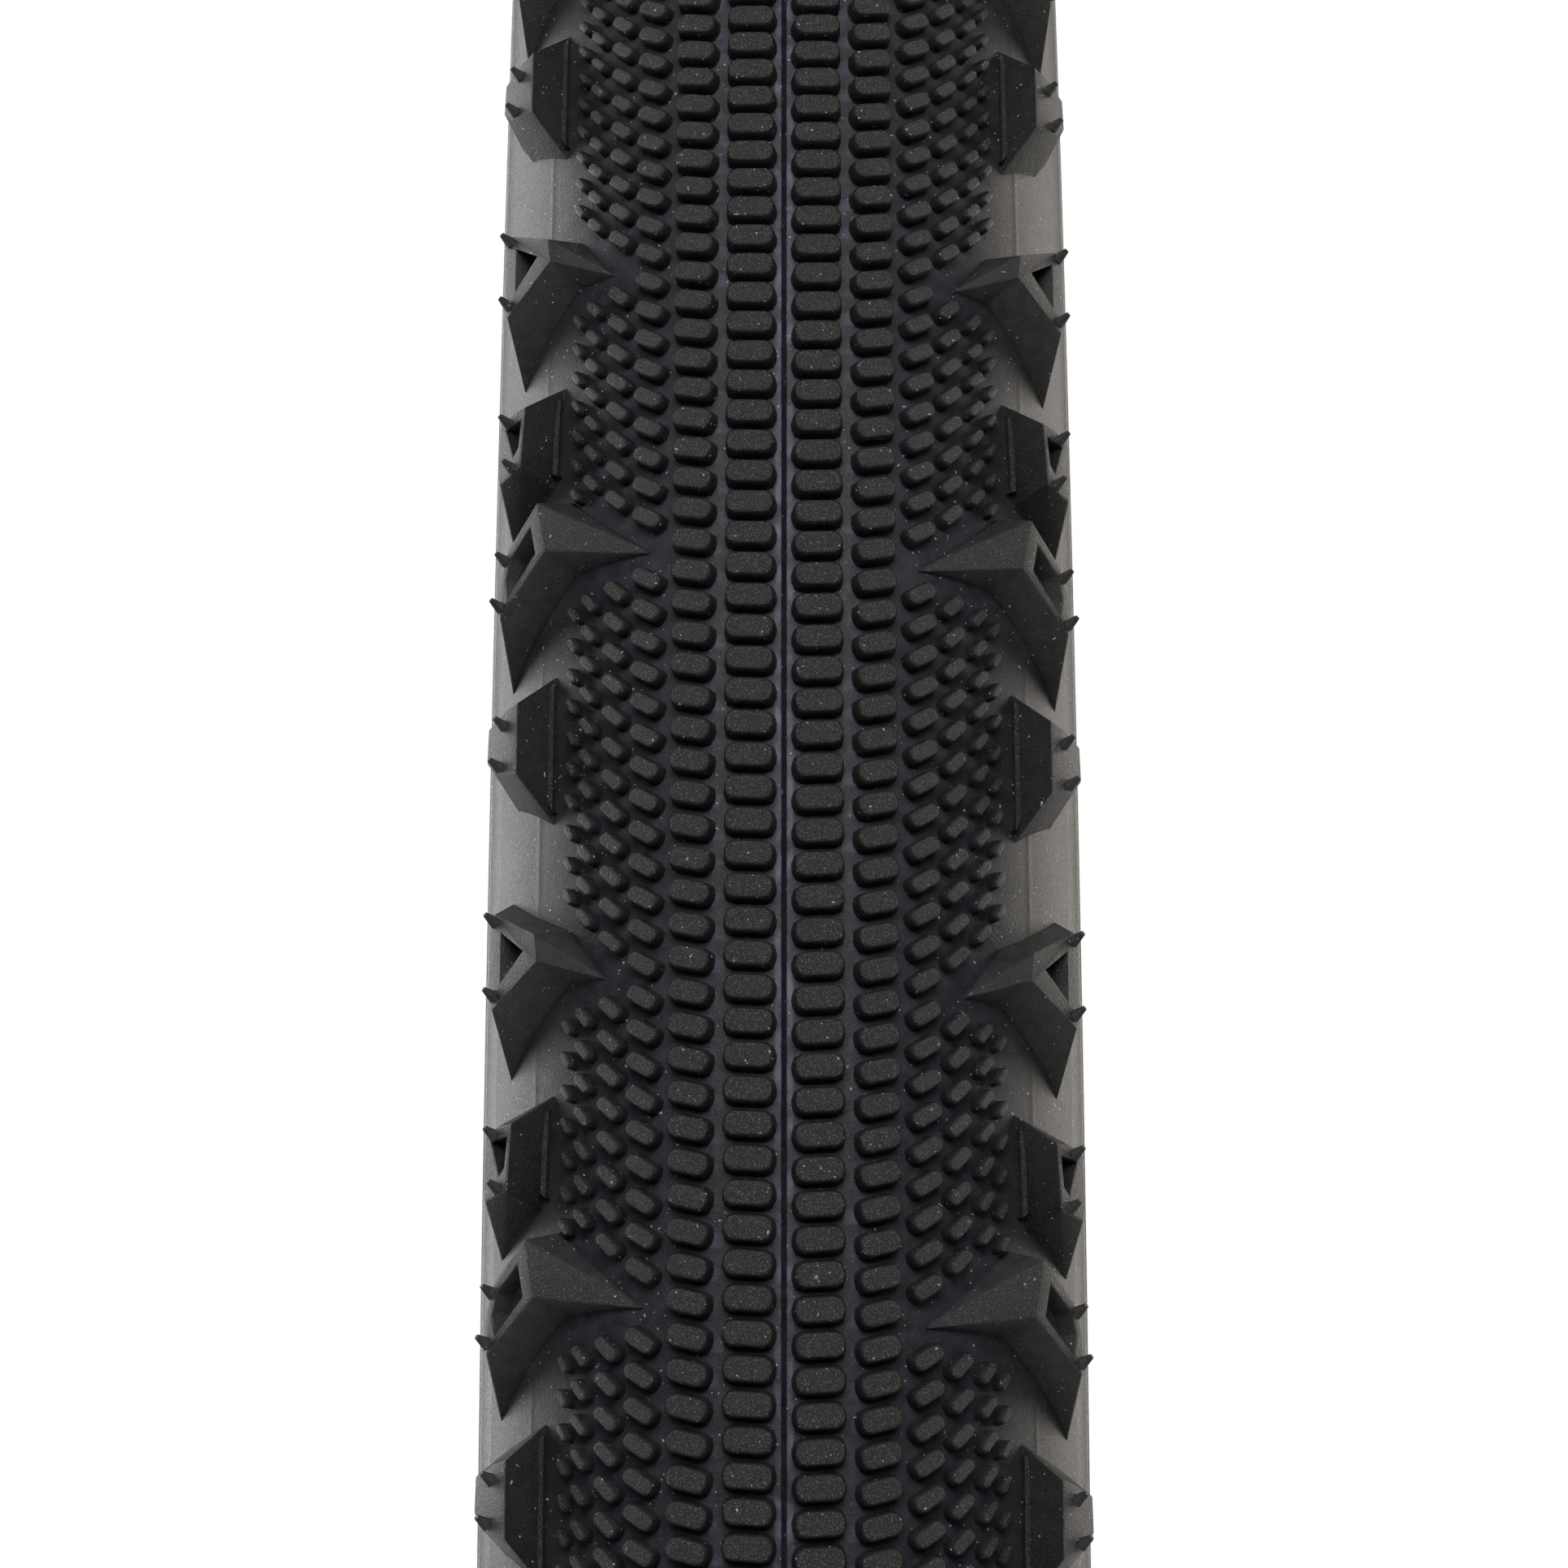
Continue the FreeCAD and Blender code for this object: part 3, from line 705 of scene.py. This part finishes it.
def buildKnurl(name, row):
    # one knurl at the flat origin: a block with round corners, a flared foot and a soft top edge
    length = row["length"] * mm
    width = row["width"] * mm
    height = row["height"] * mm
    root = knurl["root"]
    deselectAll()
    bpy.ops.mesh.primitive_cube_add(size=1, location=(0, 0, (height - root) / 2),
                                    scale=(length, width, height + root))
    piece = newest(name)
    finishPlace(piece)
    editMesh(piece)
    selectEdges(piece, lambda a, b: abs(a.z - b.z) > height / 2)      # the four upright ones
    bpy.ops.mesh.bevel(offset=row["corner"] * width, segments=row["facets"], affect="EDGES")
    bpy.ops.mesh.select_all(action="SELECT")
    waistHeight = knurl["waistHeight"] * height
    bpy.ops.mesh.bisect(plane_co=(0, 0, waistHeight), plane_no=(0, 0, 1))
    selectVerts(piece, lambda co: abs(co.z - waistHeight) < height / 10)
    waist = 2 * knurl["waist"] * width
    widenSelection(1 + waist / length, 1 + waist / width)
    selectVerts(piece, lambda co: co.z < 0)      # the foot
    foot = 2 * knurl["foot"] * width
    widenSelection(1 + foot / length, 1 + foot / width)
    selectEdges(piece, lambda a, b: min(a.z, b.z) > height * 0.9)      # the rim of the top
    bpy.ops.mesh.bevel(offset=knurl["edge"], segments=1, affect="EDGES")
    selectFaces(piece, lambda face: face.normal.z > 0.99)              # the top
    bpy.ops.mesh.inset(thickness=knurl["inset"])
    bpy.ops.object.mode_set(mode="OBJECT")
    return piece


def knurlRun(name, row, side, first, last):
    # the knurls of one pattern, from number first to number last
    piece = buildKnurl(name, row)
    turn = -1 if side == "left" else 1
    drop = 0 if side == "left" else row["drop"]
    piece.rotation_euler.z = turn * math.radians(row["tilt"])
    piece.location = (turn * row["arc"] * mm, -(row["start"] + drop) * mm - first * knurlPitch, 0)
    finishPlace(piece)
    repeatAlong(piece, last - first + 1, knurlPitch)
    return piece


for rowName, row in knurlRows.items():
    for side in ("left", "right"):
        atShort, atLong = row["lost"]
        upper = knurlRun(f"{side}{rowName.title()}Knurls", row, side, 0, knurl["lastUpper"] - atShort)
        lower = knurlRun("lowerRun", row, side, knurl["lastUpper"] + 1, tire["knurls"] - 1 - atLong)
        pick(upper, lower)
        bpy.ops.object.join()
        repeatAlong(upper, tire["patterns"], patternLength)
        wrapOnTire(upper)
        smooth(upper, knurl["smoothAngle"])
        register(upper, "tread_rubber", materials["knurlRubber"], f"knurl_row_{rowName}_{side}")
    print("tire: knurl row", rowName, "laid")


knobShape = {
    "height": 2.4 * mm,
    "root": 0.3 * mm,        # how deep the foot is let into the tread
    "pitDepth": 1.2 * mm,
    "ribHeight": 0.45 * mm,
    "edge": 0.11 * mm,       # rounding of the edges
    "sharp": 25,             # degrees over which an edge is rounded
    "smoothAngle": 30,
    "tailSink": 0.05 * mm,   # how far the tail's tip dips under the tread
    "drop": 1.1 * mm,        # how much further down the right half sits
}
# Places are (arc from the centre line, distance down from the long wedge's tip) in mm, on the
# left side. Each outline runs once round the knob, and the tail grows from its last side.
knobs = {
    "longWedge": {
        "node": "long_wedge_knobs",
        "material": "knobRubber",
        "foot": [(-13.5, -4.8), (-18.6, -3.2), (-20.4, -0.8), (-20.9, 2.6), (-20.1, 6.1), (-12.9, 0.2)],
        "top": [(-14.0, -4.1), (-16.3, -2.0), (-17.0, -0.4), (-17.25, 1.2), (-17.0, 2.1), (-13.3, -0.8)],
        "tail": (-7.6, 0.0),
        "pit": [(-14.5, -2.7), (-16.1, -1.3), (-16.5, -0.1), (-16.3, 1.1), (-14.1, -0.9)],
        "rib": None,
        "nubs": [(-16.6, -1.3), (-17.0, 1.5)],
    },
    "flat": {
        "node": "flat_knobs",
        "material": "flatKnobRubber",
        "foot": [(-14.6, 5.7), (-18.4, 6.9), (-20.4, 8.2), (-20.6, 11.4), (-18.8, 13.4), (-14.6, 15.4)],
        "top": [(-15.2, 8.0), (-16.2, 8.2), (-17.9, 8.8), (-18.0, 10.8), (-17.2, 11.7), (-15.2, 12.3)],
        "tail": None,
        "pit": None,
        "rib": [(-14.4, 6.6), (-14.85, 6.8), (-14.85, 13.6), (-14.4, 14.4)],
        "nubs": [(-16.4, 9.1), (-16.8, 11.5)],
    },
    "shortWedge": {
        "node": "short_wedge_knobs",
        "material": "knobRubber",
        "foot": [(-13.1, 21.6), (-19.4, 18.6), (-20.6, 20.2), (-20.8, 26.2), (-19.2, 29.9), (-13.0, 25.0)],
        "top": [(-13.6, 22.2), (-16.9, 20.3), (-17.2, 21.4), (-17.3, 24.6), (-17.0, 25.9), (-13.4, 23.8)],
        "tail": (-10.4, 24.9),
        "pit": [(-14.4, 23.0), (-16.3, 21.5), (-16.3, 24.5)],
        "rib": None,
        "nubs": [(-16.9, 20.8), (-16.9, 25.2)],
    },
    "pitted": {
        "node": "pitted_knobs",
        "material": "flatKnobRubber",
        "foot": [(-14.2, 30.8), (-18.0, 31.8), (-20.6, 33.0), (-20.8, 37.6), (-20.3, 40.3), (-15.2, 37.6)],
        "top": [(-15.1, 32.8), (-16.2, 32.8), (-17.4, 33.2), (-17.5, 35.8), (-17.4, 36.9), (-15.4, 36.6)],
        "tail": None,
        "pit": [(-15.5, 33.5), (-16.8, 33.6), (-16.1, 35.6), (-15.7, 35.2)],
        "rib": [(-14.3, 31.9), (-14.75, 32.0), (-14.95, 36.6), (-14.5, 36.9)],
        "nubs": [(-16.6, 33.3), (-16.2, 36.4)],
    },
}


def flatSpot(spot, height):
    across, down = spot
    return (across * mm, -down * mm, height)


def outlineBlock(name, foot, top, low, high):
    # a block whose foot and top have their own outlines, with the same number of corners
    corners = len(foot)
    deselectAll()
    bpy.ops.mesh.primitive_circle_add(vertices=corners, radius=mm, fill_type="NGON")
    piece = newest(name)
    for vert, spot in zip(piece.data.vertices, foot):
        vert.co = flatSpot(spot, low)
    editMesh(piece)
    bpy.ops.mesh.select_all(action="SELECT")
    bpy.ops.mesh.extrude_region_move(TRANSFORM_OT_translate={"value": (0, 0, high - low)})
    bpy.ops.object.mode_set(mode="OBJECT")
    for vert in piece.data.vertices:
        if vert.co.z > (low + high) / 2:
            gaps = [math.dist(vert.co[:2], flatSpot(spot, 0)[:2]) for spot in foot]
            vert.co = flatSpot(top[gaps.index(min(gaps))], high)
    return piece


def growTail(piece, knob):
    # pulls the side between the outline's last and first corners out to the tail's tip
    ends = [flatSpot(knob["foot"][0], 0), flatSpot(knob["foot"][-1], 0),
            flatSpot(knob["top"][0], 0), flatSpot(knob["top"][-1], 0)]
    middle = np.mean(ends, axis=0)[:2]
    editMesh(piece)
    nearby = knobShape["height"] / 8
    selectFaces(piece, lambda face: math.dist(face.calc_center_median()[:2], middle) < nearby)
    bpy.ops.mesh.extrude_region_move()
    bpy.ops.mesh.merge(type="CENTER")
    shape = bmesh.from_edit_mesh(piece.data)
    tip = min(shape.verts, key=lambda vert: math.dist(vert.co[:2], middle))
    tip.co = flatSpot(knob["tail"], -knobShape["tailSink"])
    bmesh.update_edit_mesh(piece.data)
    bpy.ops.object.mode_set(mode="OBJECT")


def buildKnob(name, knob):
    # one knob of the left side, modelled flat
    piece = outlineBlock(name, knob["foot"], knob["top"], -knobShape["root"], knobShape["height"])
    if knob["tail"]:
        growTail(piece, knob)
    faceOutwards(piece)
    if knob["pit"]:
        floor = knobShape["height"] - knobShape["pitDepth"]
        cutter = outlineBlock("pitCutter", knob["pit"], knob["pit"], floor, 2 * knobShape["height"])
        faceOutwards(cutter)
        pick(piece)
        bpy.ops.object.modifier_add(type="BOOLEAN")
        cut = piece.modifiers[-1]
        cut.object = cutter
        cut.operation = "DIFFERENCE"
        cut.solver = "EXACT"
        bpy.ops.object.modifier_apply(modifier=cut.name)
        pick(cutter)
        bpy.ops.object.delete()
    pick(piece)
    bpy.ops.object.modifier_add(type="BEVEL")
    soft = piece.modifiers[-1]
    soft.width = knobShape["edge"]
    soft.segments = 2
    soft.limit_method = "ANGLE"
    soft.angle_limit = math.radians(knobShape["sharp"])
    bpy.ops.object.modifier_apply(modifier=soft.name)
    if knob["rib"]:
        rib = outlineBlock("rib", knob["rib"], knob["rib"], -knobShape["root"], knobShape["ribHeight"])
        pick(piece, rib)
        bpy.ops.object.join()
    return piece


def setOnSide(piece, side):
    # mirrors a flat left piece for the right half, repeats it and rolls it round the wheel
    if side == "right":
        piece.scale.x = -1
        piece.location.y = -knobShape["drop"]
        finishPlace(piece)
    repeatAlong(piece, tire["patterns"], patternLength)
    wrapOnTire(piece)
    faceOutwards(piece)
    smooth(piece, knobShape["smoothAngle"])


for family, knob in knobs.items():
    for side in ("left", "right"):
        piece = buildKnob(f"{side}{family[0].upper()}{family[1:]}Knobs", knob)
        setOnSide(piece, side)
        register(piece, "tread_rubber", materials[knob["material"]], f"{knob['node']}_{side}")
print("tire: shoulder knobs set")


nub = {
    "length": 0.85 * mm,
    "root": 0.42 * mm,    # radius where it leaves the knob
    "tip": 0.16 * mm,
    "sides": 6,
    "flatness": 0.8,      # its width across the tread, to that along it
    "sink": 0.1 * mm,     # how deep it starts in the knob's top
    "lean": 30,           # degrees up the tread
}


def buildNub(spot):
    # a thorn of flash rubber on a knob's top
    deselectAll()
    bpy.ops.mesh.primitive_cone_add(vertices=nub["sides"], radius1=nub["root"], radius2=nub["tip"],
                                    depth=nub["length"])
    piece = newest("nub")
    piece.location = (0, 0, nub["length"] / 2)
    finishPlace(piece)
    piece.rotation_euler.x = -math.radians(nub["lean"])
    piece.scale = (nub["flatness"], 1, 1)
    piece.location = flatSpot(spot, knobShape["height"] - nub["sink"])
    finishPlace(piece)
    return piece


for side in ("left", "right"):
    thorns = [buildNub(spot) for knob in knobs.values() for spot in knob["nubs"]]
    pick(*thorns)
    bpy.ops.object.join()
    piece = newest(f"{side}VentNubs")
    setOnSide(piece, side)
    register(piece, "tread_rubber", materials["knobRubber"], f"vent_nubs_{side}")
print("tire: vent nubs set")
